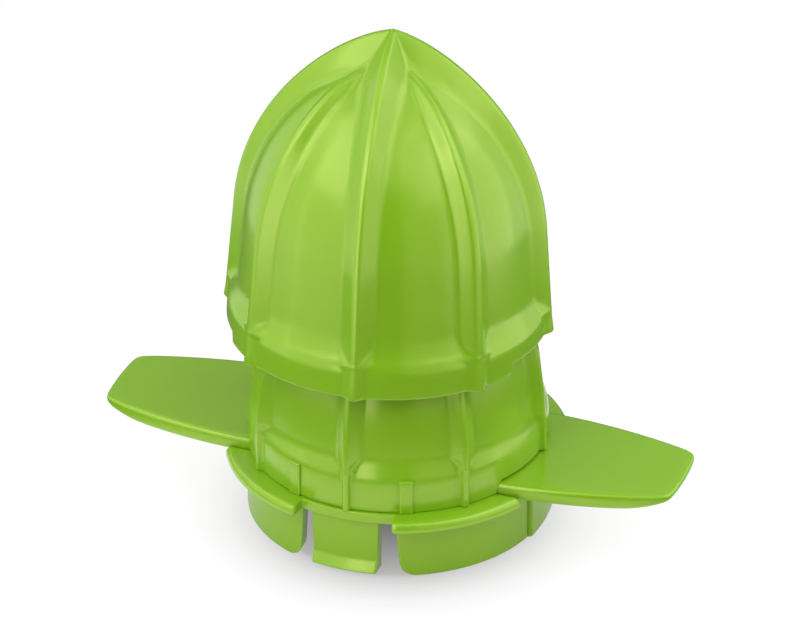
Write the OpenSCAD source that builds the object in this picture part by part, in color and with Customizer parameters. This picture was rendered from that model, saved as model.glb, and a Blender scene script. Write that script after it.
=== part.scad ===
// Two reaming cones over a paddle collar, for squeezing citrus fruit.
// Millimetres, +Z up. The origin is the middle of the collar's foot, where it stands.
// X runs along the two paddles, and -Y is the side of the front snap tongue.

/* [Collar] */
// Outer radius of the collar's skirt
skirt_r = 30.9; // [29:0.1:33]
// Wall of the skirt
skirt_wall = 3; // [2.8:0.1:4]
// Height from the foot to the top of the flange
base_h = 14.7; // [12:0.1:20]
// How far the flange stands out from the skirt
flange_out = 4.4; // [3:0.1:6]
// Thickness of the flange
flange_t = 2.2; // [1.6:0.1:3]
// Half width of the flange's gap over each snap tongue
flange_gap = 10.2; // [9:0.1:12]

/* [Snap tongues] */
// Width of a snap tongue
tongue_w = 14.3; // [10:0.1:16]
// Sideways place of the tongue in its window
tongue_shift = 0.75; // [0:0.05:0.8]
// Thickness of a snap tongue
tongue_t = 2.4; // [1.6:0.1:2.6]
// How much a side of the tongue draws in towards its end
tongue_draft = 0.3; // [0:0.1:0.6]
// Height of the tongue's end above the foot
tongue_rise = 0.8; // [0:0.1:2]
// How far the catch at the tongue's end stands out
catch_out = 1.2; // [0.6:0.1:1.6]
// Height of the catch
catch_h = 2.3; // [1.5:0.1:3]
// Half width of the skirt's window round a tongue, at its top
window_half = 9.8; // [9.4:0.1:11]
// How much wider the window is at the foot, on each side
window_draft = 0.8; // [0:0.1:1.2]
// Rounding of the skirt's lower corners at the window
window_corner = 3; // [1:0.5:4]

/* [Paddles] */
// Reach of a paddle from the middle to its tip
paddle_reach = 61.2; // [50:0.1:70]
// Thickness of a paddle
paddle_t = 3.5; // [2.5:0.1:5]
// How far a paddle stands above the flange
paddle_up = 2.3; // [1.5:0.1:3]
// Half width of a paddle at its widest, near its root
paddle_half = 15.3; // [12:0.1:16]
// Radius of a paddle's bowed sides
paddle_side_r = 100; // [85:1:140]
// Distance of a paddle's widest place from the middle
paddle_side_x = 26; // [20:0.5:30]
// Radius of a paddle's corners at its tip
paddle_corner = 2.2; // [1:0.1:4]
// Rounding of a paddle's edges
paddle_edge = 1.5; // [0.4:0.1:1.6]
// Width of the leg that holds a paddle in the collar
leg_w = 13.4; // [8:0.1:16]
// Thickness of the leg
leg_t = 2.7; // [1.5:0.1:3]
// How far the leg stands out from the skirt
leg_proud = 0.8; // [0:0.1:1.2]

/* [Small cone] */
// How far the small cone's rim band lies inside the skirt
small_set_in = 0.2; // [0:0.1:0.6]
// Height of the rim band
small_band_h = 8.3; // [5:0.1:10]
// How far the ribs' feet stand out from the rim band
small_foot_out = 1.05; // [0.6:0.05:1.3]
// How much the ribs draw in up to the top of the rim band
small_taper = 0.15; // [0.05:0.05:0.4]
// Height of the small cone
small_h = 61.5; // [58:0.1:62]
// Depth of the hollows between the ribs
small_hollow = 2.1; // [1.4:0.1:2.6]
// Wall of the small cone
small_wall = 1.3; // [1:0.1:1.6]

/* [Large cone] */
// Room between the two rim bands when the cones are nested
nest_gap = 0.7; // [0.6:0.05:1]
// Height of the rim band
large_band_h = 7.2; // [5:0.1:9]
// How far the ribs' feet stand out from the rim band
large_foot_out = 1.4; // [1:0.1:1.8]
// How much the ribs draw in up to where the sides start to curve
large_taper = 2; // [1.6:0.1:2.2]
// Height at which the sides start to curve in
large_waist_h = 25.2; // [20:0.1:30]
// Height of the large cone
large_h = 65.6; // [64:0.1:70]
// Depth of the hollows between the ribs
large_hollow = 2.3; // [1.6:0.1:2.4]
// Wall of the large cone
large_wall = 1.1; // [0.9:0.05:1.2]
// Height of the large cone's rim above the flange, where it sits on the ribs
perch_h = 26.3; // [26.2:0.1:30]
// Turn of the large cone away from the small cone's ribs
perch_turn = 7.6; // [4:0.1:11]

/* [Drive socket] */
// Radius of the socket's bore
drive_r = 4; // [3:0.1:5]
// Length of the socket
drive_len = 22; // [15:0.5:26]
// Wall of the socket round its bore
drive_wall = 2; // [1.8:0.1:3]
// Height of the socket's mouth above the flange
drive_mouth = 5.3; // [3:0.1:8]
// Width of a keyway in the bore
key_w = 1.4; // [1:0.1:1.8]
// Depth of a keyway
key_d = 1; // [0.5:0.1:1.2]

/* [Fit] */
// Clearance between a paddle and the pieces round it
paddle_gap = 0.3; // [0.2:0.05:0.5]
// Clearance between a tongue's root and the band over it
root_gap = 0.3; // [0.25:0.05:0.6]
// Clearance round the drive socket in its sleeve
socket_gap = 0.05; // [0.02:0.01:0.1]

/* [Hidden] */
$fn = 96;
lime = "#8fbd3a";
deep_lime = "#7cac2c";
ribs = 8;
rib_step = 360 / ribs;
curve_steps = 14;
cut = 1;                                  // how far a cutting solid runs past a face
bore_r = skirt_r - skirt_wall;            // inside of the skirt
flange_r = skirt_r + flange_out;
flange_bottom = base_h - flange_t;
flange_edge = 1;                          // rounding of the flange's upper edge
small_band_r = skirt_r - small_set_in;
small_foot_r = small_band_r + small_foot_out;
small_waist_r = small_foot_r - small_taper;
large_band_r = small_band_r + nest_gap + large_wall;
large_foot_r = large_band_r + large_foot_out;
large_waist_r = large_foot_r - large_taper;
ledge_r = small_foot_r - 0.25;            // the collar's top ends just inside the ribs' feet
paddle_top = base_h + paddle_up;
paddle_bottom = paddle_top - paddle_t;
paddle_slot = paddle_half + paddle_gap;   // half width of what the paddles pass through
leg_out = skirt_r + leg_proud;
leg_gap = 0.05;                           // clearance of a leg in its pocket
drive_out = drive_r + key_d + drive_wall;
sleeve_in = drive_out + socket_gap;
sleeve_wall = 1.5;
sleeve_out = sleeve_in + sleeve_wall;
web_t = 1.6;
web_h = 24;
crown_t = 5;                              // solid crown over the sleeve's hollow
rim_lead = 0.45;                          // the large rim is this much wider inside at its mouth
rim_lead_h = 2.2;
tab_w = 2.7;
tab_h = 7.4;
tab_out = 0.5;
tongue_out = skirt_r - 0.3;               // a tongue lies a little back from the skirt
tongue_in = tongue_out - tongue_t;
tongue_top = flange_bottom - root_gap;
tongue_edge = 0.5;
short_rib_r = 9;                          // every second rib stops this far from the tip
// Each step of a rib: its width and how deep it lies under the rib line
small_rib_steps = [[1.2, 0], [2.8, 0.7], [4.6, 1.4]];
large_rib_steps = [[1.4, 0], [3.5, 0.8], [5.8, 1.6]];
rib_slope = 0.35;                         // what a rib's sloping side adds to its wall

// Where the large cone sits out of line on the small cone's ribs
perch_shift = [-1.78, -0.64];
perch_lean = [-1.87, 0.77];

// A cubic curve from p0 to p3, and its direction
function bend(p0, p1, p2, p3, t) =
    pow(1 - t, 3) * p0 + 3 * pow(1 - t, 2) * t * p1 + 3 * (1 - t) * t * t * p2 + pow(t, 3) * p3;
function bend_dir(p0, p1, p2, p3, t) =
    3 * pow(1 - t, 2) * (p1 - p0) + 6 * (1 - t) * t * (p2 - p1) + 3 * t * t * (p3 - p2);

// A cone's outline over its ribs is straight up to its waist, then curves in to its tip.
// line = [foot radius, waist radius, waist height, height, side handle, crown handle, crown drop]
small_line = [small_foot_r, small_waist_r, small_band_h, small_h, 20, 24, 2.9];
large_line = [large_foot_r, large_waist_r, large_waist_h, large_h, 23.3, 11.1, 1.4];

function handles(l) = [
    [l[1], l[2]],
    [l[1] - (l[0] - l[1]) / l[2] * l[4], l[2] + l[4]],
    [l[5], l[3] - l[6]],
    [0, l[3]]
];
function inward(h, t, d) =
    let (p = bend(h[0], h[1], h[2], h[3], t), v = bend_dir(h[0], h[1], h[2], h[3], t), n = norm(v))
    [max(0, p[0] - d * v[1] / n), p[1] + d * v[0] / n];
// Points of the curve at a depth that fades to d1 at the tip
function curve(l, d0, d1) =
    let (h = handles(l))
    [for (i = [0:curve_steps]) let (t = i / curve_steps) inward(h, t, d1 + (d0 - d1) * (1 - pow(t, 3)))];
// Radius of the straight side at height z and depth d
function side(l, z, d) = l[0] - (l[0] - l[1]) / l[2] * z - d;

// Half outline of the smooth body between the ribs, with its rim band
module body_outline(l, band_r, band_h, hollow) {
    shoulder = hollow * 0.9;
    polygon(concat(
        [[0, 0], [band_r, 0], [band_r - 0.1, band_h - 0.8], [band_r - 0.45, band_h],
         [side(l, band_h, hollow * 0.75), band_h + shoulder * 0.75],
         [side(l, band_h, hollow), band_h + shoulder * 1.3]],
        [for (p = curve(l, hollow, 0)) if (p[1] > band_h + shoulder * 1.4) p]
    ));
}

// Half outline of the space inside a cone, with a lead at its mouth
module inside_outline(l, band_r, band_h, hollow, wall, lead) {
    polygon(concat(
        [[0, -cut], [band_r - wall + lead, -cut], [band_r - wall + lead, 0],
         [band_r - wall, rim_lead_h], [band_r - wall, band_h - wall],
         [side(l, band_h, hollow + wall), band_h + hollow * 0.5]],
        [for (p = curve(l, hollow + wall, wall)) if (p[1] > band_h + hollow) p]
    ));
}

// A plate along the rib line from drop deep to deep, from the rim up to from_r from the tip
module rib_plate(l, w, drop, deep, from_r, drop_tip, deep_tip) {
    outer = curve(l, drop, drop_tip);
    inner = curve(l, deep, deep_tip);
    last = len([for (p = outer) if (p[0] >= from_r) p]) - 1;
    rotate([90, 0, 0])
        linear_extrude(w, center = true)
            polygon(concat(
                [[side(l, 0, deep), 0], [side(l, 0, drop), 0]],
                [for (i = [0:last]) outer[i]],
                [for (i = [last:-1:0]) inner[i]]
            ));
}

// Every rib, in steps that widen towards the body; every second one stops short of the tip
module rib_set(l, steps, deep) {
    for (i = [0:ribs - 1], s = steps)
        rotate(-90 + i * rib_step)
            rib_plate(l, s[0], s[1], deep, i % 2 == 0 ? 0 : short_rib_r + 2 * (deep - s[1]), 0, 0.6);
}

// The hollow inside of the ribs, which leaves the same wall all over
module rib_channels(l, steps, hollow, wall) {
    for (i = [0:ribs - 1], s = steps)
        rotate(-90 + i * rib_step)
            rib_plate(l, s[0], s[1] + wall + rib_slope, hollow + wall + cut,
                      short_rib_r + 2 * (hollow - s[1]), wall + rib_slope, wall + 2 * rib_slope);
}

// Cut-outs of a rim over the two paddles
module rim_cuts(r, h) {
    translate([-r, -paddle_slot, -cut]) cube([2 * r, 2 * paddle_slot, h + cut]);
}

module ring(r_out, r_in, h) {
    difference() {
        cylinder(r = r_out, h = h);
        translate([0, 0, -cut]) cylinder(r = r_in, h = h + 2 * cut);
    }
}

module collar() {
    color(lime)
        difference() {
            union() {
                ring(skirt_r, bore_r, base_h);
                translate([0, 0, flange_bottom]) ring(ledge_r, bore_r, flange_t);
                difference() {
                    translate([0, 0, flange_bottom]) flange();
                    // The flange is open over the tongues and at the paddles
                    translate([-flange_gap, -flange_r - cut, 0])
                        cube([2 * flange_gap, 2 * (flange_r + cut), base_h + cut]);
                    translate([-flange_r - cut, -paddle_half, 0])
                        cube([2 * (flange_r + cut), 2 * paddle_half, base_h + cut]);
                }
            }
            tongue_windows();
            // Seats of the paddles, and the pockets of their legs
            translate([-flange_r, -paddle_slot, paddle_bottom])
                cube([2 * flange_r, 2 * paddle_slot, base_h]);
            intersection() {
                translate([0, 0, -cut]) ring(flange_r, leg_out - leg_t, base_h);
                translate([-flange_r, -leg_w / 2, -cut]) cube([2 * flange_r, leg_w, base_h]);
            }
        }
}

module flange() {
    e = flange_edge;
    rotate_extrude()
        polygon([[skirt_r - cut, 0], [flange_r, 0], [flange_r, flange_t - e],
                 [flange_r - e * 0.08, flange_t - e * 0.6], [flange_r - e * 0.3, flange_t - e * 0.3],
                 [flange_r - e * 0.6, flange_t - e * 0.08], [flange_r - e, flange_t],
                 [skirt_r - cut, flange_t]]);
}

// Windows through the skirt round both tongues, with the skirt's lower corners rounded
module tongue_windows() {
    foot = window_half + window_draft;
    c = window_corner;
    rotate([90, 0, 0])
        linear_extrude(2 * (skirt_r + cut), center = true) {
            polygon([[-foot, -cut], [foot, -cut], [window_half, flange_bottom],
                     [-window_half, flange_bottom]]);
            for (m = [0, 1])
                mirror([m, 0])
                    difference() {
                        translate([foot - cut, -cut]) square([c + cut, c + cut]);
                        translate([foot + c - window_draft * c / flange_bottom, c]) circle(r = c);
                        translate([foot + c - cut, c]) square(2 * cut);
                    }
        }
}

// A tongue is a strip of the skirt's ring with a catch turned out at its end
module snap_tongue() {
    half = tongue_w / 2;
    e = tongue_edge;
    color(lime)
        intersection() {
            rotate_extrude()
                polygon([[tongue_in, tongue_rise], [tongue_out + catch_out, tongue_rise],
                         [tongue_out + catch_out, tongue_rise + catch_h * 0.4],
                         [tongue_out, tongue_rise + catch_h], [tongue_out, tongue_top - e],
                         [tongue_out - e, tongue_top], [tongue_in + e, tongue_top],
                         [tongue_in, tongue_top - e]]);
            translate([-tongue_shift, 0, 0])
                rotate([90, 0, 0])
                    linear_extrude(2 * skirt_r)
                        polygon([[-half + tongue_draft, 0], [half - tongue_draft, 0],
                                 [half, base_h], [-half, base_h]]);
        }
}

module snap_tongue_front() {
    snap_tongue();
}

module snap_tongue_rear() {
    rotate(180) snap_tongue();
}

// A disc with rounded edges; a paddle is what three of them share
module rounded_disc(r, t, e) {
    rotate_extrude()
        polygon(concat(
            [[0, 0]],
            [for (a = [0:30:90]) [r - e + e * sin(a), e - e * cos(a)]],
            [for (a = [0:30:90]) [r - e + e * cos(a), t - e + e * sin(a)]],
            [[0, t]]
        ));
}

// The far crossing of two circles, the second centred at c below the X axis
function crossing(r1, c, r2) =
    let (d = norm(c), a = (r1 * r1 - r2 * r2 + d * d) / (2 * d), h = sqrt(r1 * r1 - a * a), u = c / d)
    a * u + h * [-u[1], u[0]];

module paddle_plate() {
    side_c = [paddle_side_x, paddle_half - paddle_side_r];
    corner = crossing(paddle_reach - paddle_corner, side_c, paddle_side_r - paddle_corner);
    on_tip = corner * paddle_reach / norm(corner);
    on_side = side_c + (corner - side_c) * paddle_side_r / norm(corner - side_c);
    difference() {
        intersection() {
            rounded_disc(paddle_reach, paddle_t, paddle_edge);
            intersection_for (m = [0, 1])
                mirror([0, m, 0])
                    translate([side_c[0], side_c[1], 0])
                        rounded_disc(paddle_side_r, paddle_t, paddle_edge);
            translate([0, -paddle_side_r, 0]) cube([paddle_reach, 2 * paddle_side_r, paddle_t]);
        }
        // The end inside the collar, and the corners of the tip
        translate([0, 0, -cut]) cylinder(r = bore_r, h = paddle_t + 2 * cut);
        for (m = [0, 1])
            mirror([0, m, 0])
                translate([0, 0, -cut])
                    difference() {
                        linear_extrude(paddle_t + 2 * cut)
                            polygon([corner, on_tip, on_tip + on_side - corner, on_side]);
                        translate([corner[0], corner[1], -cut])
                            cylinder(r = paddle_corner, h = paddle_t + 4 * cut);
                    }
    }
}

// A paddle with the leg that holds it in the collar's pocket
module paddle() {
    color(lime) {
        translate([0, 0, paddle_bottom]) paddle_plate();
        intersection() {
            ring(leg_out, leg_out - leg_t + leg_gap, paddle_bottom + paddle_t / 2);
            translate([0, -leg_w / 2 + leg_gap, 0])
                cube([leg_out, leg_w - 2 * leg_gap, paddle_bottom + paddle_t / 2]);
        }
    }
}

module right_paddle() {
    paddle();
}

module left_paddle() {
    rotate(180) paddle();
}

// The small cone stands on the collar, with the sleeve of the drive socket inside
module small_cone() {
    color(lime)
        translate([0, 0, base_h])
            difference() {
                union() {
                    difference() {
                        union() {
                            rotate_extrude()
                                body_outline(small_line, small_band_r, small_band_h, small_hollow);
                            rib_set(small_line, small_rib_steps, small_hollow + 0.6);
                            tabs();
                        }
                        rotate_extrude()
                            inside_outline(small_line, small_band_r, small_band_h, small_hollow,
                                           small_wall, 0);
                    }
                    sleeve();
                }
                rim_cuts(small_foot_r + cut, paddle_up + paddle_gap);
            }
}

// Small upright tabs low on the rim band, on both sides of the front and rear ribs
module tabs() {
    for (a = [-0.5, 0.5, ribs / 2 - 0.5, ribs / 2 + 0.5])
        rotate(a * rib_step - 90)
            translate([small_band_r - 1, -tab_w / 2, 0])
                cube([1 + tab_out, tab_w, tab_h]);
}

// The sleeve hangs from the crown, braced by four webs
module sleeve() {
    intersection() {
        union() {
            difference() {
                translate([0, 0, drive_mouth]) cylinder(r = sleeve_out, h = small_h - drive_mouth);
                translate([0, 0, drive_mouth - cut]) cylinder(r = sleeve_in, h = drive_len + cut);
                translate([0, 0, drive_mouth + drive_len - cut])
                    cylinder(r = drive_r + key_d, h = small_h - drive_mouth - drive_len - crown_t);
            }
            for (a = [45:90:315])
                rotate(a)
                    translate([sleeve_out - 0.5, -web_t / 2, small_h - web_h])
                        cube([small_foot_r, web_t, web_h]);
        }
        rotate_extrude() body_outline(small_line, small_band_r, small_band_h, small_hollow);
    }
}

// The socket that the drive shaft turns, held in the small cone's sleeve
module drive_socket() {
    color(deep_lime)
        translate([0, 0, base_h + drive_mouth])
            difference() {
                cylinder(r = drive_out, h = drive_len);
                translate([0, 0, -cut]) cylinder(r = drive_r, h = drive_len + 2 * cut);
                for (a = [0:90:270])
                    rotate(a)
                        translate([0, -key_w / 2, -cut])
                            cube([drive_r + key_d, key_w, drive_len + 2 * cut]);
            }
}

// The large cone sits out of line on the ribs of the small one
module large_cone() {
    color(lime)
        translate([perch_shift[0], perch_shift[1], base_h + perch_h])
            rotate([perch_lean[0], perch_lean[1], 0])
                rotate(perch_turn)
                    difference() {
                        union() {
                            rotate_extrude()
                                body_outline(large_line, large_band_r, large_band_h, large_hollow);
                            rib_set(large_line, large_rib_steps, large_hollow + 0.6);
                        }
                        rotate_extrude()
                            inside_outline(large_line, large_band_r, large_band_h, large_hollow,
                                           large_wall, rim_lead);
                        rib_channels(large_line, large_rib_steps, large_hollow, large_wall);
                        rim_cuts(large_foot_r + cut, paddle_up);
                    }
}

collar();
snap_tongue_front();
snap_tongue_rear();
left_paddle();
right_paddle();
small_cone();
drive_socket();
large_cone();
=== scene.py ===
import math
import bpy
import bmesh
import numpy as np
from mathutils import Matrix, Vector


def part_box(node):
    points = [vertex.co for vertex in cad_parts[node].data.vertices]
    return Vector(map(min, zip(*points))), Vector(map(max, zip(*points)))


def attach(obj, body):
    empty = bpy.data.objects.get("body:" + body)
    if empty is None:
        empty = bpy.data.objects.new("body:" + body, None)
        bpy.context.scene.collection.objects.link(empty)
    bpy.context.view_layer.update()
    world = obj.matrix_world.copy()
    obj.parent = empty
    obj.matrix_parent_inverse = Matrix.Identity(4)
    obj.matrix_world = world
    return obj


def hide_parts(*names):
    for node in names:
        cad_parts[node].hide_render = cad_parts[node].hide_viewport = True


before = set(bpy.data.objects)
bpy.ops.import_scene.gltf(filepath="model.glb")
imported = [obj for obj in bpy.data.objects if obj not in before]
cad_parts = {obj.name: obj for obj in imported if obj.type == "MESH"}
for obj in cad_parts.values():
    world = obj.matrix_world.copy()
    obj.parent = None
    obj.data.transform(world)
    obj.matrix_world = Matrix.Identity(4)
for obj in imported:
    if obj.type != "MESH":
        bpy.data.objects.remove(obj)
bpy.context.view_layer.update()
print("stage: frame loaded,", len(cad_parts), "nodes")

mm = 0.001
scene = bpy.context.scene
scene.view_settings.view_transform = "Standard"

# Heights and radii that the dressed pieces share with the solids, in millimetres
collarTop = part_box("collar")[1].z / mm
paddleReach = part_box("right_paddle")[1].x / mm
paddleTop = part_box("right_paddle")[1].z / mm
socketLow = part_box("drive_socket")[0].z / mm
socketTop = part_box("drive_socket")[1].z / mm


def smoothMin(a, b, blend):
    near = np.maximum(blend - np.abs(a - b), 0) / blend
    return np.minimum(a, b) - near * near * blend / 4


def smoothMax(a, b, blend):
    return -smoothMin(-a, -b, blend)


def smoothStep(a, low, high):
    u = np.clip((a - low) / (high - low), 0, 1)
    return u * u * (3 - 2 * u)


def makePiece(name, parts, material, body, node, place=None, smooth=0):
    # parts is a list of (points in millimetres, faces), each a closed skin of its own, and smooth says how
    # often the piece is subdivided
    mesh = bpy.data.meshes.new(name)
    points, faces, start = [], [], 0
    for partPoints, partFaces in parts:
        points.append(np.asarray(partPoints, float))
        faces += [tuple(int(i) + start for i in f) for f in partFaces]
        start += len(partPoints)
    points = np.vstack(points) * mm
    mesh.from_pydata(points.tolist(), [], faces)
    bm = bmesh.new()
    bm.from_mesh(mesh)
    bmesh.ops.recalc_face_normals(bm, faces=bm.faces)
    bm.to_mesh(mesh)
    bm.free()
    if place is not None:
        mesh.transform(place)
    for polygon in mesh.polygons:
        polygon.use_smooth = True
    mesh.materials.append(material)
    piece = bpy.data.objects.new(name, mesh)
    scene.collection.objects.link(piece)
    if smooth:
        soften = piece.modifiers.new("soften", "SUBSURF")
        soften.levels = soften.render_levels = smooth
    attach(piece, body)
    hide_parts(node)
    return piece


def rowFaces(rows, columns, ringed=False):
    # quads between rows of points that go all the way round; ringed joins the last row to the first one
    faces = []
    for i in range(rows if ringed else rows - 1):
        a, b = i * columns, (i + 1) % rows * columns
        for j in range(columns):
            k = (j + 1) % columns
            faces.append((a + j, a + k, b + k, b + j))
    return faces


plastic = {
    "colour": (0.190, 0.403, 0.009, 1),
    "socketColour": (0.15, 0.34, 0.014, 1),
    "clouding": 0.10,
    "cloudScale": 45,
    "gloss": 0.22,
    "sheen": 1.0,
    "sheenTint": (1.0, 1.0, 0.42, 1),     # of what the surface mirrors
    "refraction": 1.58,
    "unevenness": 0.10,                   # of the gloss
    "blotchScale": 220,
    "ripple": 0.25,
    "rippleDepth": 0.00003,
    "rippleScale": 90,
    "rippleShare": 0.8,                   # of the wide ripple in the height
    "grain": 0.05,                        # and of a finer one
    "grainScale": 900,
    "glow": 0.22,                         # light that wanders inside the plastic
    "glowDepth": 0.0022,
    "glowReach": (0.7, 1.0, 0.25),        # of red, green and blue
}


def mouldedGroup():
    # faint clouding, uneven gloss and the slight ripple of moulded plastic
    group = bpy.data.node_groups.new("mouldedPlastic", "ShaderNodeTree")
    for name, kind in (("Colour", "NodeSocketColor"), ("Clouding", "NodeSocketFloat"),
                       ("Gloss", "NodeSocketFloat"), ("Unevenness", "NodeSocketFloat")):
        group.interface.new_socket(name=name, in_out="INPUT", socket_type=kind)
    for name, kind in (("Colour", "NodeSocketColor"), ("Roughness", "NodeSocketFloat"),
                       ("Height", "NodeSocketFloat")):
        group.interface.new_socket(name=name, in_out="OUTPUT", socket_type=kind)
    nodes, links = group.nodes, group.links
    given = nodes.new("NodeGroupInput")
    made = nodes.new("NodeGroupOutput")
    where = nodes.new("ShaderNodeTexCoord")

    def noise(scale, detail):
        n = nodes.new("ShaderNodeTexNoise")
        n.inputs["Scale"].default_value = scale
        n.inputs["Detail"].default_value = detail
        links.new(where.outputs["Object"], n.inputs["Vector"])
        return n.outputs["Fac"]

    def maths(kind, *values):
        n = nodes.new("ShaderNodeMath")
        n.operation = kind
        for socket, value in zip(n.inputs, values):
            if isinstance(value, (int, float)):
                socket.default_value = value
            else:
                links.new(value, socket)
        return n.outputs[0]

    clouds = maths("SUBTRACT", noise(plastic["cloudScale"], detail=3), 0.5)
    shade = maths("MULTIPLY_ADD", clouds, given.outputs["Clouding"], 1)
    tint = nodes.new("ShaderNodeVectorMath")
    tint.operation = "SCALE"
    links.new(given.outputs["Colour"], tint.inputs[0])
    links.new(shade, tint.inputs["Scale"])
    links.new(tint.outputs[0], made.inputs["Colour"])
    blotches = maths("SUBTRACT", noise(plastic["blotchScale"], detail=2), 0.5)
    uneven = maths("MULTIPLY", blotches, given.outputs["Unevenness"])
    links.new(maths("ADD", given.outputs["Gloss"], uneven), made.inputs["Roughness"])
    ripple = maths("MULTIPLY", noise(plastic["rippleScale"], detail=1), plastic["rippleShare"])
    grain = maths("MULTIPLY", noise(plastic["grainScale"], detail=2), plastic["grain"])
    links.new(maths("ADD", ripple, grain), made.inputs["Height"])
    return group


plasticGroup = mouldedGroup()


def makePlastic(name, colour):
    material = bpy.data.materials.new(name)
    material.use_nodes = True
    nodes, links = material.node_tree.nodes, material.node_tree.links
    shader = nodes["Principled BSDF"]
    moulded = nodes.new("ShaderNodeGroup")
    moulded.node_tree = plasticGroup
    moulded.inputs["Colour"].default_value = colour
    moulded.inputs["Clouding"].default_value = plastic["clouding"]
    moulded.inputs["Gloss"].default_value = plastic["gloss"]
    moulded.inputs["Unevenness"].default_value = plastic["unevenness"]
    bump = nodes.new("ShaderNodeBump")
    bump.inputs["Strength"].default_value = plastic["ripple"]
    bump.inputs["Distance"].default_value = plastic["rippleDepth"]
    links.new(moulded.outputs["Colour"], shader.inputs["Base Color"])
    links.new(moulded.outputs["Roughness"], shader.inputs["Roughness"])
    links.new(moulded.outputs["Height"], bump.inputs["Height"])
    links.new(bump.outputs["Normal"], shader.inputs["Normal"])
    shader.inputs["IOR"].default_value = plastic["refraction"]
    shader.inputs["Specular IOR Level"].default_value = plastic["sheen"]
    shader.inputs["Specular Tint"].default_value = plastic["sheenTint"]
    shader.inputs["Subsurface Weight"].default_value = plastic["glow"]
    shader.inputs["Subsurface Radius"].default_value = plastic["glowReach"]
    shader.inputs["Subsurface Scale"].default_value = plastic["glowDepth"]
    return material


collarPlastic = makePlastic("collarPlastic", plastic["colour"])
paddlePlastic = makePlastic("paddlePlastic", plastic["colour"])
smallConePlastic = makePlastic("smallConePlastic", plastic["colour"])
largeConePlastic = makePlastic("largeConePlastic", plastic["colour"])
socketPlastic = makePlastic("socketPlastic", plastic["socketColour"])
print("stage: materials")


largeCone = {
    "footRadius": 33.9,           # of the ribs at the rim
    "waistRadius": 31.9,          # of the ribs where the side starts to curve
    "waistHeight": 25.2,
    "height": 65.6,
    "sideHandle": 23.3,
    "crownHandle": 11.1,
    "crownDrop": 2.25,            # the crown's curve leaves the tip with this fall over its handle
    "bandRadius": 32.5,
    "bandHeight": 7.2,
    "hollow": 2.7,                # depth of the panels between the ribs
    "crownHollow": 3.6,           # what the panels gain in depth towards the tip
    "crestHalf": 0.6,
    "flankSlope": 0.95,
    "bandFlankSlope": 0.8,
    "wall": 1.1,
    "lead": 0.45,                 # widening at the mouth inside
    "ribbedInside": True,
    "cutHeight": 2.3,             # of the rim's cut-outs over the paddles
    "rearFall": 0.664,            # the rear rib falls straight from the tip with this slope
    "rearShortFall": (3.05, 0.08, 0.36),   # depth of the rear short ribs' fall, where it starts and ends
    "shift": (-1.78, -0.64, collarTop + 26.3),
    "lean": (-1.87, 0.77),        # degrees about X and Y
    "turn": 7.6,
}
smallCone = {
    "footRadius": 31.75,
    "waistRadius": 31.6,
    "waistHeight": 8.3,
    "height": 61.5,
    "sideHandle": 20,
    "crownHandle": 24,
    "crownDrop": 2.9,
    "bandRadius": 30.7,
    "bandHeight": 8.3,
    "hollow": 2.1,
    "crownHollow": 3.6,
    "crestHalf": 0.5,
    "flankSlope": 1.0,
    "bandFlankSlope": 2.4,
    "wall": 1.3,
    "lead": 0,
    "ribbedInside": False,
    "cutHeight": 2.6,
    "rearFall": 0,
    "rearShortFall": (0, 0.08, 0.36),
}
# what both cones share, in millimetres and shares of the curved part
ribForm = {
    "shortDrop": 9.0,             # every second rib sinks by this times t cubed towards the tip
    "crest": 0.34,                # rounding of the ribs' edges
    "root": 0.4,                  # rounding between rib and panel
    "bandRoot": 1.8,              # what it gains at the rim band's top
    "bandRootRise": (-1.5, 0.5),  # between these heights over the band's top
    "tipRoot": 1.8,               # what it gains towards the tip
    "tipRootEnd": (1.5, 8),       # and loses again from the larger of these radii to the smaller
    "steepening": 0.45,           # what the flanks' slope gains towards the tip
    "bandFade": (-0.6, 3.2),      # over the band's top, where the flanks go over to the side's slope
    "rearBlend": 0.6,
    "rearTip": 1.5,               # the rear rib's fall comes in up to this radius
}
shoulderForm = {
    "draft": 0.1,                 # what the rim band draws in towards its top
    "start": 0.55,                # the shoulder starts this far below the band's top
    "slope": 0.58,
    "foot": 0.9,                  # rounding between band and shoulder
    "head": 1.5,                  # and between shoulder and panel
    "reach": 8,                   # above the band's top there is only the panel from here on
}
ribCount = 8
ribStep = math.radians(360 / ribCount)
rearRib = ribCount // 2
rearShortRibs = (rearRib - 1, rearRib + 1)
cutHalf = 15.6                    # half width of the rim's cut-outs
cutTurn = math.asin(cutHalf / largeCone["bandRadius"])
cutSlant = math.radians(0.4)      # half of what a cut-out's side takes up round the rim
cutReach = 1.5                    # the rows over a cut-out are squeezed up to this far below the band's top
rimEdge = 0.32                    # rounding of the rim
leadHeight = 2.2                  # the widening at the mouth goes up to here
depthSteps = 6                    # in which the depth under the ribs is found
otherSide = 99                    # distance from a rib that stands for the far side of the cone
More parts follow.
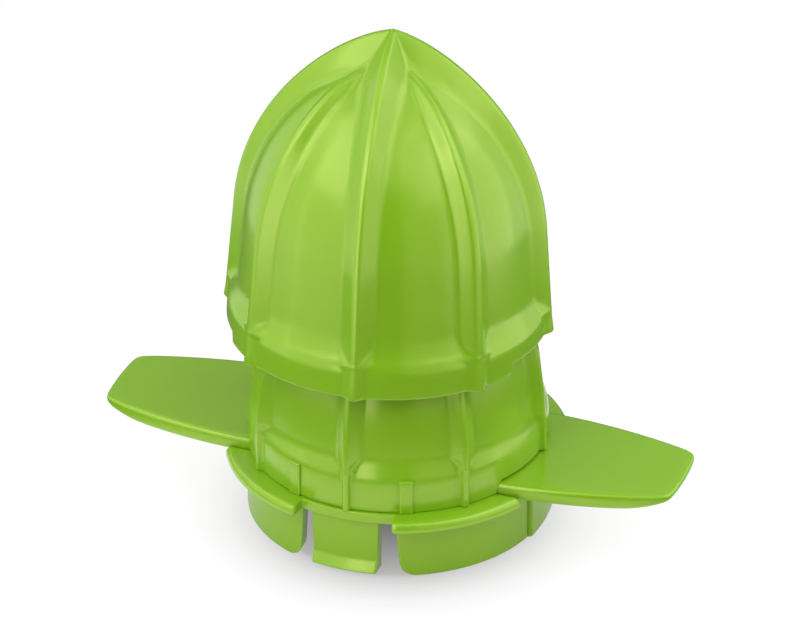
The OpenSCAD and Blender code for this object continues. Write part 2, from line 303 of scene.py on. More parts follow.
# the mesh's rows along the crest of a rib, and its columns beside it; heights are over the band's top
coneRows = {
    "onBand": 8,                  # how many rows
    "bandEnd": -1.2,
    "shoulder": (-1.0, 4.6),
    "close": 0.24,                # distance of the rows there
    "closeReach": 5.0,            # and as far up the curve of a cone whose waist is no higher than its band
    "sideStart": 5.2,
    "onSide": 13,
    "onCurve": 60,
    "tipGap": 0.25,               # distance of the last row from the tip
    "tipDrop": 0.06,              # the middle of the tip lies this far below the ribs' line
    "insideClose": 30,            # the inside has every second row after this many of them
    "insideLast": 3,              # apart from the last ones
    "insideEnd": 0.12,            # radius inside which it has none
    "insideRise": 0.05,           # the middle of a ribbed inside stands this far over its last row
}
coneColumns = {
    "offsets": (0.25, 0.45, 0.58, 0.7, 0.9, 1.2, 1.6, 2.1, 2.6, 3.1, 3.6, 4.1, 4.7),
    "angle": math.radians(14.6),  # the last of the offsets stays within it where the cone is narrow
    "between": (0.33, 0.67),      # shares of the way from there to a cut-out's side
}


def crestRows(cone):
    # radius, height, outward normal and share t of the curved part, along the crest of a rib
    g = coneRows
    r0, r1, h1 = cone["footRadius"], cone["waistRadius"], cone["waistHeight"]
    band = cone["bandHeight"]
    side = band + g["sideStart"]
    low = np.linspace(rimEdge, band + g["bandEnd"], g["onBand"])
    shoulder = np.arange(band + g["shoulder"][0], band + g["shoulder"][1], g["close"])
    high = np.linspace(side, h1, g["onSide"]) if h1 > side else np.array([])
    straight = np.concatenate([low, shoulder[shoulder < max(h1, band + 1e-6)], high])
    slope = (r0 - r1) / h1
    p0 = np.array([r1, h1])
    p1 = np.array([r1 - slope * cone["sideHandle"], h1 + cone["sideHandle"]])
    p2 = np.array([cone["crownHandle"], cone["height"] - cone["crownDrop"]])
    p3 = np.array([0, cone["height"]])
    t = np.linspace(0, 1, 2001)[:, None]
    line = (1 - t) ** 3 * p0 + 3 * (1 - t) ** 2 * t * p1 + 3 * (1 - t) * t * t * p2 + t ** 3 * p3
    going = 3 * (1 - t) ** 2 * (p1 - p0) + 6 * (1 - t) * t * (p2 - p1) + 3 * t * t * (p3 - p2)
    run = np.concatenate([[0], np.cumsum(np.linalg.norm(np.diff(line, axis=0), axis=1))])
    stops = np.linspace(0, run[-1] - g["tipGap"], g["onCurve"] + 1)[1:]
    if h1 <= band:                # the shoulder lies on the curve, so its rows are close there too
        near = np.arange(g["close"], g["closeReach"], g["close"])
        stops = np.union1d(stops[stops > g["closeReach"]], near)
    curved = np.interp(stops, run, t[:, 0])
    radius = np.concatenate([r0 - slope * straight, np.interp(curved, t[:, 0], line[:, 0])])
    height = np.concatenate([straight, np.interp(curved, t[:, 0], line[:, 1])])
    dr = np.concatenate([np.full(len(straight), -slope), np.interp(curved, t[:, 0], going[:, 0])])
    dz = np.concatenate([np.ones(len(straight)), np.interp(curved, t[:, 0], going[:, 1])])
    size = np.hypot(dr, dz)
    share = np.concatenate([np.zeros(len(straight)), curved])
    return radius, height, dz / size, -dr / size, share


def columnAngles(radius):
    # angles round the cone for each row; the columns keep their distance from the ribs
    offsets = np.array(coneColumns["offsets"])[None, :]
    end = offsets[0, -1]
    reach = np.minimum(end, radius * math.sin(coneColumns["angle"]))[:, None]
    squeeze = (end / reach - 1) / end
    dense = np.arcsin(offsets / (1 + squeeze * offsets) / radius[:, None])
    last = dense[:, -1:]
    cut = math.pi / 2 - cutTurn - ribStep   # from a rib to a cut-out's side
    before, after = cut - cutSlant, cut + cutSlant
    half = ribStep / 2
    between = [last + (before - last) * f for f in coneColumns["between"]]
    fixed = [np.full_like(last, a) for a in (before, after, (after + half) / 2)]
    side = np.hstack([dense] + between + fixed)
    middle = np.full_like(last, half)
    sector = np.hstack([-side[:, ::-1], np.zeros_like(last), side, middle])
    ribs = -math.pi / 2 + ribStep * np.arange(ribCount)
    return np.hstack([sector + a for a in ribs])


def bodyDepth(cone, radius, height, share):
    # how deep the body lies under the line of the ribs: the rim band, its shoulder, then the panel
    f = shoulderForm
    panel = cone["hollow"] + cone["crownHollow"] * share ** 3
    band = radius - cone["bandRadius"] + f["draft"] * height / cone["bandHeight"]
    atTop = np.interp(cone["bandHeight"], height, band)
    shoulder = atTop + (height - cone["bandHeight"] + f["start"]) * f["slope"]
    low = smoothMax(band, shoulder, f["foot"])
    return np.where(height > cone["bandHeight"] + f["reach"], panel, smoothMin(panel, low, f["head"]))


def coneSkin(cone, radius, height, share, nr, nz, angles, inner):
    # depth of every point under the line of the ribs
    wall = cone["wall"] if inner else 0
    body = bodyDepth(cone, radius, height, share)[:, None] + wall
    if inner:
        body = body - cone["lead"] * np.clip(1 - height / leadHeight, 0, 1)[:, None]
    body = np.repeat(body, angles.shape[1], axis=1)
    if inner and not cone["ribbedInside"]:
        return body
    f = ribForm
    overBand = height - cone["bandHeight"]
    onBand = 1 - smoothStep(overBand, *f["bandFade"])
    slope = cone["flankSlope"] + (cone["bandFlankSlope"] - cone["flankSlope"]) * onBand
    slope = (slope + f["steepening"] * share ** 3)[:, None]
    root = f["root"] + f["bandRoot"] * onBand * smoothStep(overBand, *f["bandRootRise"])
    root = (root + f["tipRoot"] * share ** 2 * smoothStep(radius, *f["tipRootEnd"]))[:, None]
    short = (f["shortDrop"] * share ** 3)[:, None]
    deepest, start, end = cone["rearShortFall"]
    rearShort = np.maximum(short, (deepest * smoothStep(share, start, end))[:, None])
    rear = smoothMax(cone["rearFall"] * radius - (cone["height"] - height), 0 * radius, f["rearBlend"])
    rear = (rear * nz * np.clip(radius / f["rearTip"], 0, 1))[:, None]
    sunk = [short if i % 2 else 0 for i in range(ribCount)]
    sunk[rearRib] = rear
    for i in rearShortRibs:
        sunk[i] = rearShort
    depth = np.zeros_like(angles)
    for _ in range(depthSteps):   # the depth moves a point across the ribs' sides, so it is found in steps
        rho = radius[:, None] - depth * nr[:, None]
        depth = body
        for i in range(ribCount):
            away = angles + math.pi / 2 - ribStep * i
            across = np.where(np.cos(away) > 0, np.abs(rho * np.sin(away)), otherSide)
            flank = slope * (across - cone["crestHalf"]) + wall * np.sqrt(1 + slope ** 2)
            flank = smoothMax(np.full_like(flank, wall), flank, f["crest"])
            depth = smoothMin(depth, flank + sunk[i], root)
    return depth


def coneMesh(cone):
    g = coneRows
    radius, height, nr, nz, share = crestRows(cone)
    angles = columnAngles(radius)
    fromX = np.arctan2(np.abs(np.sin(angles)), np.abs(np.cos(angles)))
    lift = cone["cutHeight"] * (fromX < cutTurn)
    top = cone["bandHeight"] - cutReach
    grids = []
    for inner in (False, True):
        depth = coneSkin(cone, radius, height, share, nr, nz, angles, inner)
        rho = radius[:, None] - depth * nr[:, None]
        z = height[:, None] - depth * nz[:, None]
        squeezed = lift + rimEdge + (z - rimEdge) * (top - lift - rimEdge) / (top - rimEdge)
        z = np.where(z < top, squeezed, z)
        z[0] = lift[0] + rimEdge
        grids.append((rho, z))
    (ro, zo), (ri, zi) = grids
    rings = [(ro[i], zo[i], angles[i]) for i in range(len(ro) - 1, -1, -1)]
    for rho, side, turns in ((ro[0], 1, (30, 60, 90)), (ri[0], -1, (90, 60, 30))):
        for turn in turns:        # round the rim's edge, from the outside to the inside
            s, c = math.sin(math.radians(turn)), math.cos(math.radians(turn))
            rings.append((rho - side * rimEdge * (1 - c), lift[0] + rimEdge * (1 - s), angles[0]))
    for i in range(len(ri)):      # the inside has fewer rows above its shoulder, and stops short of the tip
        kept = i < g["insideClose"] or i % 2 == 0 or i >= len(ri) - g["insideLast"]
        if kept and ri[i].min() > g["insideEnd"]:
            rings.append((ri[i], zi[i], angles[i]))
    columns = angles.shape[1]
    points = [np.stack([r * np.cos(a), r * np.sin(a), z], -1) for r, z, a in rings]
    tip = np.array([[0, 0, cone["height"] - g["tipDrop"]]])
    inRise = g["insideRise"] if cone["ribbedInside"] else 0
    inTip = np.array([[0, 0, float(points[-1][:, 2].mean()) + inRise]])
    faces = rowFaces(len(rings), columns)
    n = len(rings) * columns
    last = (len(rings) - 1) * columns
    faces += [(n, j, (j + 1) % columns) for j in range(columns)]
    faces += [(n + 1, last + (j + 1) % columns, last + j) for j in range(columns)]
    return np.vstack(points + [tip, inTip]), faces


def latheMesh(outline, steps=64):
    # a closed ring made by turning a closed outline of (radius, height) round the axis
    a = np.linspace(0, 2 * math.pi, steps, endpoint=False)
    rings = [np.stack([r * np.cos(a), r * np.sin(a), np.full(steps, z)], -1) for r, z in outline]
    return np.vstack(rings), rowFaces(len(outline), steps, True)


# Most other pieces are blocks of cells, bent into place and softened by a subdivision
cellSides = (
    ((1, 0, 0), ((1, 0, 0), (1, 1, 0), (1, 1, 1), (1, 0, 1))),
    ((-1, 0, 0), ((0, 0, 0), (0, 0, 1), (0, 1, 1), (0, 1, 0))),
    ((0, 1, 0), ((0, 1, 0), (0, 1, 1), (1, 1, 1), (1, 1, 0))),
    ((0, -1, 0), ((0, 0, 0), (1, 0, 0), (1, 0, 1), (0, 0, 1))),
    ((0, 0, 1), ((0, 0, 1), (1, 0, 1), (1, 1, 1), (0, 1, 1))),
    ((0, 0, -1), ((0, 0, 0), (0, 1, 0), (1, 1, 0), (1, 0, 0))),
)


def blockMesh(counts, corner, filled=None, ringed=False):
    # skin of the filled cells; corner(j, i, k) places a corner, and ringed columns go all the way round
    columns, layers, rows = counts
    index, points, faces = {}, [], []

    def solid(j, i, k):
        j = j % columns if ringed else j
        inside = 0 <= j < columns and 0 <= i < layers and 0 <= k < rows
        return inside and (filled is None or filled(j, i, k))

    def point(j, i, k):
        key = (j % columns if ringed else j, i, k)
        if key not in index:
            index[key] = len(points)
            points.append(corner(*key))
        return index[key]

    for j in range(columns):
        for i in range(layers):
            for k in range(rows):
                if solid(j, i, k):
                    for step, quad in cellSides:
                        if not solid(j + step[0], i + step[1], k + step[2]):
                            faces.append(tuple(point(j + a, i + b, k + c) for a, b, c in quad))
    return points, faces


def halfSector(keys, steps):
    # angles of the column lines of a half sector, with a number of steps between its keys
    lines = [keys[0]]
    for a, b, n in zip(keys, keys[1:], steps):
        lines += [a + (b - a) * (s + 1) / n for s in range(n)]
    return lines


def mirrored(j, lines, size):
    # angle of column line j where half sectors of one size follow each other, every second one mirrored
    count = len(lines) - 1
    turn, place = divmod(j, count)
    return size * turn + lines[place] if turn % 2 == 0 else size * (turn + 1) - lines[count - place]


def around(radius, angle, height):
    # angle 0 is the front and a quarter turn on is the right-hand side
    return radius * math.sin(angle), -radius * math.cos(angle), height


collarForm = {
    "bore": 27.9,
    "pocketBack": 29.0,           # behind the paddles' legs
    "skirt": 30.9,
    "ledge": 31.5,                # the ring that the small cone's rim rests on
    "flange": 35.3,
    "flangeLow": 12.5,
    "seat": 13.5,                 # of the paddles
    "windowHalf": 9.8,            # of the windows round the tongues, at their top
    "windowDraft": 0.8,
    "windowCorner": 3.0,
    "flangeGap": 10.2,
    "slotHalf": 15.6,             # of what the paddles pass through
    "pocketHalf": 6.7,
    "edge": 0.3,                  # distance of the lines that keep an edge crisp
    "flangeEdge": 1.7,
    "gapEdge": 2.0,
    "slotEdge": 0.4,
    "brow": (0.28, 0.95),         # how far the flange's rim draws in towards its top
    "footRows": (0, 0.35, 1.1, 2),   # heights of the mesh's rows, which are close where the edges are
    "wallRows": (4.5, 7.5, 10.5),
    "topEdge": 0.35,
    "steps": (4, 1, 1, 8, 1, 1, 3, 1, 1, 4),
    "zones": "wwsssbbbpp",        # window, skirt, seat beside the pocket, pocket
}


def collarMesh():
    c = collarForm
    edge, top = c["edge"], collarTop
    radii = [c["bore"], c["bore"] + edge, c["pocketBack"] - edge, c["pocketBack"], c["pocketBack"] + edge,
             c["skirt"] - edge, c["skirt"], c["skirt"] + edge, c["ledge"], c["flange"] - c["flangeEdge"],
             c["flange"]]
    rows = [*c["footRows"], c["windowCorner"], *c["wallRows"], c["flangeLow"] - edge, c["flangeLow"],
            c["flangeLow"] + edge, c["seat"] - edge, c["seat"], top - c["topEdge"], top]
    zones = [zone for zone, n in zip(c["zones"], c["steps"]) for _ in range(n)]
    quarter = len(zones)

    def windowEdge(onFlange, z):
        if onFlange:
            return c["flangeGap"]
        rise = c["windowCorner"]
        corner = rise - math.sqrt(max(rise ** 2 - max(rise - z, 0) ** 2, 0))
        return c["windowHalf"] + c["windowDraft"] * max(1 - z / c["flangeLow"], 0) + corner

    def corner(j, i, k):
        r, z = radii[i], rows[k]
        onFlange = i > radii.index(c["ledge"])
        if i == len(radii) - 1 and k >= len(rows) - 2:
            r -= c["brow"][k - len(rows) + 2]
        wide = windowEdge(onFlange, z)
        gap, slot = (c["gapEdge"], c["slotEdge"]) if onFlange else (edge, edge)
        keys = [0] + [math.asin(x / r) for x in (wide - edge, wide, wide + gap)]
        sides = (c["slotHalf"] + slot, c["slotHalf"], c["slotHalf"] - edge,
                 c["pocketHalf"] + edge, c["pocketHalf"], c["pocketHalf"] - edge)
        keys += [math.acos(y / r) for y in sides]
        lines = halfSector(keys + [math.pi / 2], c["steps"])
        return around(r, mirrored(j, lines, math.pi / 2), z)

    def filled(j, i, k):
        turn, place = divmod(j, quarter)
        zone = zones[place if turn % 2 == 0 else quarter - 1 - place]
        r, z = (radii[i] + radii[i + 1]) / 2, (rows[k] + rows[k + 1]) / 2
        low = z < c["flangeLow"]
        if zone == "w":
            return not low and r < c["ledge"]
        if zone == "s":
            return not low or r < c["skirt"]
        if zone == "b":
            return z < c["seat"] and (r < c["skirt"] or (r < c["ledge"] and not low))
        return z < c["seat"] and r < c["pocketBack"]

    return blockMesh((4 * quarter, len(radii) - 1, len(rows) - 1), corner, filled, True)


tongueForm = {
    "inside": 28.2,
    "outside": 30.6,
    "low": 0.8,
    "top": 12.2,
    "half": 7.15,
    "shift": -0.75,
    "draft": 0.3,                 # each side draws in this much towards the end
    "catchOut": 1.2,
    "catchLow": 1.1,
    "catchTop": 3.1,
    "edge": 0.4,
    "catchRows": (1.8, 2.5),      # heights of the mesh's rows between the edges
    "backRows": (6, 9),
    "across": (-0.6, -0.2, 0.2, 0.6),   # shares of the half width
}


def tongueMesh():
    t = tongueForm
    edge = t["edge"]
    radii = [t["inside"], t["inside"] + edge, t["outside"] - edge, t["outside"]]
    across = [-1, edge / t["half"] - 1, *t["across"], 1 - edge / t["half"], 1]
    rows = [t["low"], t["catchLow"], *t["catchRows"], t["catchTop"], t["catchTop"] + edge, *t["backRows"],
            t["top"] - edge, t["top"]]

    def corner(j, i, k):
        z = rows[k]
        flare = t["catchOut"] * min((t["catchTop"] - z) / (t["catchTop"] - t["catchLow"]), 1)
        r = radii[i] + (max(flare, 0) if i >= 2 else 0)
        x = t["shift"] + across[j] * (t["half"] - t["draft"] * (1 - z / t["top"]))
        return around(r, math.asin(x / r), z)

    return blockMesh((len(across) - 1, len(radii) - 1, len(rows) - 1), corner)


paddleForm = {
    "inside": 27.9,
    "thickness": 3.5,
    "sideRadius": 100,
    "sideCentre": (26, -84.7),
    "cornerRadius": 2.2,
    "edge": 2.8,                  # distance of the mesh's lines beside the outline
    "halfWidth": 15,              # half the width and the length that those lines' shares are taken of
    "length": 34,
    "across": (-0.5, 0, 0.5),     # the mesh's other lines, as shares of the half width and of the length
    "along": (0, 0.03, 0.12, 0.3, 0.5, 0.7, 0.82),
    "tipRise": (0, 0, 0, 0, 0, 0.05, 0.3, 1.1, 2.0),   # of the underside, at each line along the paddle
    "legIn": 29.05,
    "legOut": 31.7,
    "legHalf": 6.65,
    "legAcross": (-1, -0.95, 0, 0.95, 1),
    "legRows": (0, 0.3, 7, 15.2),
}


def crossing(radius, centre, otherRadius):
    # where a circle round the middle crosses another one, on the far side of its centre
    away = math.hypot(*centre)
    along = (radius ** 2 - otherRadius ** 2 + away ** 2) / (2 * away)
    off = math.sqrt(radius ** 2 - along ** 2)
    ux, uy = centre[0] / away, centre[1] / away
    return along * ux - off * uy, along * uy + off * ux


def arc(centre, radius, start, end, steps):
    a = np.linspace(start, end, steps)
    return np.stack([centre[0] + radius * np.cos(a), centre[1] + radius * np.sin(a)], -1)


def alongLine(line, share):
    run = np.concatenate([[0], np.cumsum(np.linalg.norm(np.diff(line, axis=0), axis=1))])
    at = share * run[-1]
    return np.array([np.interp(at, run, line[:, 0]), np.interp(at, run, line[:, 1])])


def paddleMesh():
    p = paddleForm
    centre, big, small = p["sideCentre"], p["sideRadius"], p["cornerRadius"]
    root = crossing(p["inside"], centre, big)
    turn = crossing(paddleReach - small, centre, big - small)
    tipAngle = math.atan2(turn[1], turn[0])
    sideAngle = math.atan2(turn[1] - centre[1], turn[0] - centre[0])
    middle = (tipAngle + sideAngle) / 2
    rootAngle = math.atan2(root[1] - centre[1], root[0] - centre[0])
    # a side and half of the tip, which meet in the middle of the rounded corner
    side = np.vstack([arc(centre, big, rootAngle, sideAngle, 60),
                      arc(turn, small, sideAngle, middle, 12)[1:]])
    tip = np.vstack([arc((0, 0), paddleReach, 0, tipAngle, 60),
                     arc(turn, small, tipAngle, middle, 12)[1:]])
    inner = arc((0, 0), p["inside"], 0, math.atan2(root[1], root[0]), 30)
    sideEdge, tipEdge = p["edge"] / p["halfWidth"], p["edge"] / p["length"]
    across = [-1, sideEdge - 1, *p["across"], 1 - sideEdge, 1]
    along = [*p["along"], 1 - tipEdge, 1]

    def corner(j, i, k):
        # a point between the four sides, from how far along and across it lies
        u, v = across[j], along[i]
        flip = np.array([1, -1 if u < 0 else 1])
        left, right = alongLine(side, v) * (1, -1), alongLine(side, v)
        low, high = alongLine(inner, abs(u)) * flip, alongLine(tip, abs(u)) * flip
        s = (u + 1) / 2
        cornerLow = inner[-1] * (1, -1) * (1 - s) + inner[-1] * s
        cornerHigh = tip[-1] * (1, -1) * (1 - s) + tip[-1] * s
        plan = (1 - v) * low + v * high + (1 - s) * left + s * right
        plan = plan - (1 - v) * cornerLow - v * cornerHigh
        thickness = p["thickness"] - p["tipRise"][i]
        return plan[0], plan[1], paddleTop - thickness * (1 - k / 2)

    def legCorner(j, i, k):
        y = p["legHalf"] * p["legAcross"][j]
        r = (p["legIn"], p["legOut"])[i]
        return math.sqrt(r * r - y * y), y, p["legRows"][k]

    legCells = (len(p["legAcross"]) - 1, 1, len(p["legRows"]) - 1)
    return [blockMesh((len(across) - 1, len(along) - 1, 2), corner), blockMesh(legCells, legCorner)]


socketForm = {
    "bore": 4,
    "keyDeep": 5,
    "outside": 7,
    "keyHalf": 0.7,
    "edge": 0.2,
    "endRows": 8,                 # the mesh's middle rows are this far from the ends
    "steps": (1, 1, 1, 4),
}


def socketMesh():
    s = socketForm
    edge = s["edge"]
    radii = [s["bore"], s["bore"] + edge, s["keyDeep"] - edge, s["keyDeep"], s["keyDeep"] + edge,
             s["outside"] - edge, s["outside"]]
    rows = [socketLow, socketLow + edge, socketLow + s["endRows"], socketTop - s["endRows"],
            socketTop - edge, socketTop]
    eighth = sum(s["steps"])

    def corner(j, i, k):
        sides = (s["keyHalf"] - edge, s["keyHalf"], s["keyHalf"] + edge)
        keys = [0] + [math.asin(x / radii[i]) for x in sides] + [math.pi / 4]
        return around(radii[i], mirrored(j, halfSector(keys, s["steps"]), math.pi / 4), rows[k])

    def filled(j, i, k):
        turn, place = divmod(j, eighth)
        inKey = (place if turn % 2 == 0 else eighth - 1 - place) < 2
        return not inKey or i >= 3

    return blockMesh((8 * eighth, len(radii) - 1, len(rows) - 1), corner, filled, True)


sleeveForm = {
    "outside": 8.55,
    "inside": 7.05,
    "upperBore": 5,
    "low": 5.3,                   # heights above the small cone's rim
    "socketEnd": 27.3,
    "boreEnd": 50,
    "top": 53,
    "tubeRows": (16, 28, 40),     # heights of the mesh's rows between the edges
    "boreRow": 38,
    "capRadii": (4, 1.5, 0.4),    # and the radii of its rings over the closed top
    "webTurns": (45, 135, 225, 315),
    "webLow": 37.5,
    "webHalf": 0.8,
    "webSink": 0.6,               # share of the wall that a web reaches into
    "webOverlap": 0.5,            # and how far it reaches into the sleeve
    "webGap": 0.3,                # a web ends this far below the sleeve's top
    "webRows": 10,
    "tabTurns": (-22.5, 22.5, 157.5, 202.5),
    "tabHalf": 1.35,
    "tabAcross": (-1, -0.8, 0.8, 1),
    "tabRadii": (-0.8, 0.1, 0.5),   # over the rim band's radius
    "tabRows": (0, 0.3, 3.5, 6.9, 7.4),
    "edge": 0.2,
}


def sleeveMesh():
    # the tube round the drive socket, closed at its top
    s = sleeveForm
    edge = s["edge"]
    tubeOut, tubeIn, blindBore = s["outside"], s["inside"], s["upperBore"]
    outline = [(tubeIn + edge, s["low"]), (tubeOut - edge, s["low"]), (tubeOut, s["low"] + edge)]
    outline += [(tubeOut, z) for z in s["tubeRows"]]
    outline += [(tubeOut, s["top"] - edge), (tubeOut - edge, s["top"])]
    outline += [(r, s["top"]) for r in s["capRadii"]]
    outline += [(s["capRadii"][-1], s["boreEnd"]), (blindBore - edge, s["boreEnd"]),
                (blindBore, s["boreEnd"] - edge), (blindBore, s["boreRow"]), (blindBore, s["socketEnd"]),
                (tubeIn, s["socketEnd"]), (tubeIn, s["tubeRows"][0]), (tubeIn, s["low"] + edge)]
    return latheMesh(outline)


def webMesh(turn):
    # a web from the sleeve to the wall, whose inside is the same all round
    s = sleeveForm
    radius, height, nr, nz, share = crestRows(smallCone)
    deep = bodyDepth(smallCone, radius, height, share) + smallCone["wall"] * s["webSink"]
    wallRadius, wallHeight = radius - deep * nr, height - deep * nz
    inside = s["outside"] - s["webOverlap"]
    rows = np.linspace(s["webLow"], s["top"] - s["webGap"], s["webRows"])
    far = np.interp(rows, wallHeight, wallRadius)
    across = (-s["webHalf"], -s["webHalf"] + s["edge"], s["webHalf"] - s["edge"], s["webHalf"])

    def corner(j, i, k):
        r = inside + (far[k] - inside) * (0, 0.5, 1)[i]
        x, y = r, across[j]
        return x * math.cos(turn) - y * math.sin(turn), x * math.sin(turn) + y * math.cos(turn), rows[k]

    return blockMesh((3, 2, len(rows) - 1), corner)


def tabMesh(turn):
    s = sleeveForm
    radii = [smallCone["bandRadius"] + r for r in s["tabRadii"]]
    across = [s["tabHalf"] * f for f in s["tabAcross"]]

    def corner(j, i, k):
        return around(radii[i], turn + across[j] / radii[i], s["tabRows"][k])

    return blockMesh((len(across) - 1, len(radii) - 1, len(s["tabRows"]) - 1), corner)


leanX, leanY = largeCone["lean"]
leaning = (Matrix.Translation(Vector(largeCone["shift"]) * mm)
           @ Matrix.Rotation(math.radians(leanY), 4, "Y")
           @ Matrix.Rotation(math.radians(leanX), 4, "X")
           @ Matrix.Rotation(math.radians(largeCone["turn"]), 4, "Z"))
makePiece("largeConeShell", [coneMesh(largeCone)], largeConePlastic, "large_reamer", "large_cone",
          leaning)
standing = Matrix.Translation(Vector((0, 0, collarTop * mm)))
makePiece("smallConeShell", [coneMesh(smallCone)], smallConePlastic, "small_reamer", "small_cone",
          standing)
fittings = [sleeveMesh()]
fittings += [webMesh(math.radians(turn)) for turn in sleeveForm["webTurns"]]
fittings += [tabMesh(math.radians(turn)) for turn in sleeveForm["tabTurns"]]
makePiece("smallConeFittings", fittings, smallConePlastic, "small_reamer", "small_cone",
          standing, smooth=1)
print("stage: cones")

halfTurn = Matrix.Rotation(math.pi, 4, "Z")
makePiece("collarRing", [collarMesh()], collarPlastic, "base", "collar", smooth=2)
makePiece("frontTongue", [tongueMesh()], collarPlastic, "front_tongue", "snap_tongue_front",
          smooth=2)
makePiece("rearTongue", [tongueMesh()], collarPlastic, "rear_tongue", "snap_tongue_rear",
          halfTurn, smooth=2)
makePiece("rightPaddle", paddleMesh(), paddlePlastic, "base", "right_paddle", smooth=3)
makePiece("leftPaddle", paddleMesh(), paddlePlastic, "base", "left_paddle", halfTurn,
          smooth=3)
makePiece("driveSocket", [socketMesh()], socketPlastic, "small_reamer", "drive_socket",
          smooth=1)
print("stage: collar, tongues, paddles and socket")

# the studio is in metres
studio = {
    "floorRadius": 6,
    "floorColour": (0.09, 0.09, 0.09, 1),
    "floorRoughness": 0.9,
    "floorGlow": 0.94,
    # painted shade: distance from its middle and brightness of the shade painted into the floor's glow
    # inside the collar and round its foot, a painted contact shadow
    "shadeMiddle": (0.0020, -0.0056, 0),
    "footShade": ((0.006, 0.18), (0.0243, 0.46), (0.0255, 0.58), (0.030, 0.74), (0.035, 0.87),
                  (0.042, 0.96), (0.050, 1.0)),
    "floorInMirror": (0.05, 0.05, 0.05, 1),   # what the plastic sees of the floor
    "floorGlowInMirror": 1.25,
    # distance from the shade's middle and brightness of the glow that the plastic sees: a painted glow in a
    # ring round the foot, with painted shade close to the foot
    "mirrorShade": ((0.026, 0.35), (0.040, 0.65), (0.052, 1.0), (0.062, 0.92), (0.088, 0.05)),
    "fill": 0.05,
    "aimHeight": 0.05,            # of the panels
}
# azimuth from the camera's side, elevation, distance, width, height and brightness of each soft panel
softPanels = {
    "highRight": (50, 45, 0.60, 0.50, 0.45, 0.95),
    "highRearRight": (115, 45, 0.60, 0.50, 0.45, 0.85),
    "highLeft": (-50, 45, 0.60, 0.50, 0.45, 1.45),
    "highRearLeft": (-115, 45, 0.60, 0.50, 0.45, 0.6),
    "highFront": (0, 50, 0.85, 0.45, 0.45, 0.6),
    "highRear": (180, 55, 0.80, 0.60, 0.45, 0.6),
    "rear": (180, 25, 0.90, 0.80, 0.50, 0.45),
    "topRight": (60, 75, 0.70, 0.40, 0.40, 0.95),
    "topLeft": (-60, 75, 0.70, 0.40, 0.40, 1.0),
}
# the same without the elevation, of the bright cards that stand on the floor
cards = {
    "cardFrontRight": (25, 0.19, 0.10, 0.30, 0.5),
    "cardRight": (55, 0.17, 0.10, 0.30, 1.1),
    "cardSideRight": (85, 0.17, 0.10, 0.30, 1.55),
    "cardRearRight": (115, 0.17, 0.10, 0.30, 0.9),
    "cardFrontLeft": (-26, 0.19, 0.07, 0.30, 2.4),
    "cardLeft": (-55, 0.17, 0.10, 0.30, 1.05),
    "cardSideLeft": (-85, 0.17, 0.10, 0.30, 1.05),
    "cardRearLeft": (-120, 0.17, 0.10, 0.30, 0.9),
}
cameraSet = {
    "azimuth": 19.67,             # degrees from the front towards the right paddle
    "elevation": 30.066,
    "roll": -0.44,
    "distance": 1.3,
    "aim": (0.5555, 0, collarTop + 26.783),   # in millimetres, turned with the camera
    "lens": 290.36,
}


def makeFloor():
    bm = bmesh.new()
    bmesh.ops.create_circle(bm, cap_ends=True, radius=studio["floorRadius"], segments=96)
    mesh = bpy.data.meshes.new("floor")
    bm.to_mesh(mesh)
    bm.free()
    floor = bpy.data.objects.new("floor", mesh)
    scene.collection.objects.link(floor)
    material = bpy.data.materials.new("palePaper")
    material.use_nodes = True
    nodes, links = material.node_tree.nodes, material.node_tree.links
    shader = nodes["Principled BSDF"]
    shader.inputs["Base Color"].default_value = studio["floorColour"]
    shader.inputs["Roughness"].default_value = studio["floorRoughness"]
    shader.inputs["Specular IOR Level"].default_value = 0
    where = nodes.new("ShaderNodeTexCoord")
    away = nodes.new("ShaderNodeVectorMath")
    away.operation = "DISTANCE"
    away.inputs[1].default_value = studio["shadeMiddle"]
    links.new(where.outputs["Object"], away.inputs[0])

    def rings(stops):
        # a ramp of brightness over the distance
        reach = stops[-1][0]
        share = nodes.new("ShaderNodeMath")
        share.operation = "DIVIDE"
        share.inputs[1].default_value = reach
        ramp = nodes.new("ShaderNodeValToRGB")
        elements = ramp.color_ramp.elements
        while len(elements) < len(stops):
            elements.new(0.5)
        for element, (radius, value) in zip(elements, stops):
            element.position, element.color = radius / reach, (value, value, value, 1)
        links.new(away.outputs["Value"], share.inputs[0])
        links.new(share.outputs[0], ramp.inputs["Fac"])
        return ramp.outputs["Color"]

    # painted shade: the glow that the camera sees is painted darker inside the collar and round its foot
    links.new(rings(studio["footShade"]), shader.inputs["Emission Color"])
    shader.inputs["Emission Strength"].default_value = studio["floorGlow"]
    dull = nodes.new("ShaderNodeBsdfDiffuse")
    dull.inputs["Color"].default_value = studio["floorInMirror"]
    # painted glow and painted shade: for every ray but the camera's the floor glows in a ring round the
    # foot, darker close to it
    glow = nodes.new("ShaderNodeEmission")
    glow.inputs["Strength"].default_value = studio["floorGlowInMirror"]
    links.new(rings(studio["mirrorShade"]), glow.inputs["Color"])
    both = nodes.new("ShaderNodeAddShader")
    links.new(dull.outputs[0], both.inputs[0])
    links.new(glow.outputs[0], both.inputs[1])
    path = nodes.new("ShaderNodeLightPath")
    mix = nodes.new("ShaderNodeMixShader")
    links.new(path.outputs["Is Camera Ray"], mix.inputs["Fac"])
    links.new(both.outputs[0], mix.inputs[1])
    links.new(shader.outputs[0], mix.inputs[2])
    links.new(mix.outputs[0], nodes["Material Output"].inputs["Surface"])
    mesh.materials.append(material)


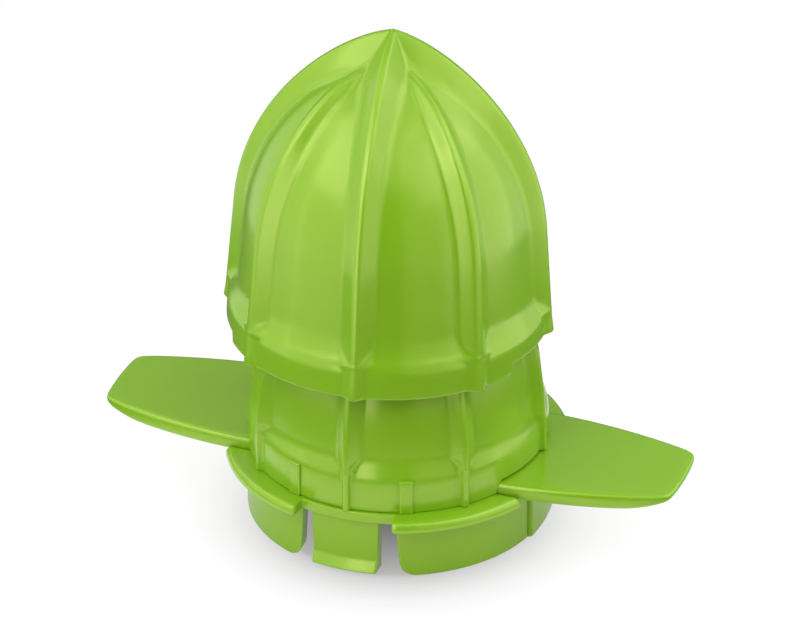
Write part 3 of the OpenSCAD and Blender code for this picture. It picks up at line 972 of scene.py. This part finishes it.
def makeCamera():
    turn, rise = math.radians(cameraSet["azimuth"]), math.radians(cameraSet["elevation"])
    spin = Matrix.Rotation(turn, 3, "Z")
    aim = spin @ (Vector(cameraSet["aim"]) * mm)
    look = spin @ Vector((0, math.cos(rise), -math.sin(rise)))
    right = spin @ Vector((1, 0, 0))
    up = right.cross(look)
    roll = math.radians(cameraSet["roll"])
    side = right * math.cos(roll) + up * math.sin(roll)
    head = up * math.cos(roll) - right * math.sin(roll)
    data = bpy.data.cameras.new("camera")
    data.lens = cameraSet["lens"]
    data.sensor_width = 36
    data.clip_start, data.clip_end = 0.1, 30
    camera = bpy.data.objects.new("camera", data)
    place = Matrix((side, head, -look)).transposed().to_4x4()
    place.translation = aim - look * cameraSet["distance"]
    camera.matrix_world = place
    scene.collection.objects.link(camera)
    scene.camera = camera


def makeLight(name, azimuth, width, height, brightness, place):
    # place takes the way to the light over the floor, and gives where it stands and where its back points
    data = bpy.data.lights.new(name, "AREA")
    data.shape = "RECTANGLE"
    data.size, data.size_y = width, height
    data.energy = brightness * math.pi * width * height
    light = bpy.data.objects.new(name, data)
    turn = math.radians(azimuth + cameraSet["azimuth"])
    light.location, back = place(math.sin(turn), -math.cos(turn))
    light.rotation_euler = back.to_track_quat("Z", "Y").to_euler()
    light.visible_camera = False
    scene.collection.objects.link(light)


def makePanel(name, azimuth, elevation, distance, width, height, brightness):
    rise = math.radians(elevation)

    def place(x, y):
        back = Vector((x * math.cos(rise), y * math.cos(rise), math.sin(rise)))
        return Vector((0, 0, studio["aimHeight"])) + back * distance, back

    makeLight(name, azimuth, width, height, brightness, place)


def makeCard(name, azimuth, distance, width, height, brightness):
    def place(x, y):
        return Vector((x * distance, y * distance, height / 2)), Vector((x, y, 0))

    makeLight(name, azimuth, width, height, brightness, place)


def makeWorld():
    world = bpy.data.worlds.new("studio")
    scene.world = world
    world.use_nodes = True
    nodes, links = world.node_tree.nodes, world.node_tree.links
    fill = nodes["Background"]
    fill.inputs["Color"].default_value = (1, 1, 1, 1)
    fill.inputs["Strength"].default_value = studio["fill"]
    white = nodes.new("ShaderNodeBackground")
    white.inputs["Color"].default_value = (1, 1, 1, 1)
    white.inputs["Strength"].default_value = 1.0
    path = nodes.new("ShaderNodeLightPath")
    mix = nodes.new("ShaderNodeMixShader")
    links.new(path.outputs["Is Camera Ray"], mix.inputs["Fac"])
    links.new(fill.outputs[0], mix.inputs[1])
    links.new(white.outputs[0], mix.inputs[2])
    links.new(mix.outputs[0], nodes["World Output"].inputs["Surface"])


makeFloor()
makeCamera()
makeWorld()
for name, values in softPanels.items():
    makePanel(name, *values)
for name, values in cards.items():
    makeCard(name, *values)
print("stage: studio")
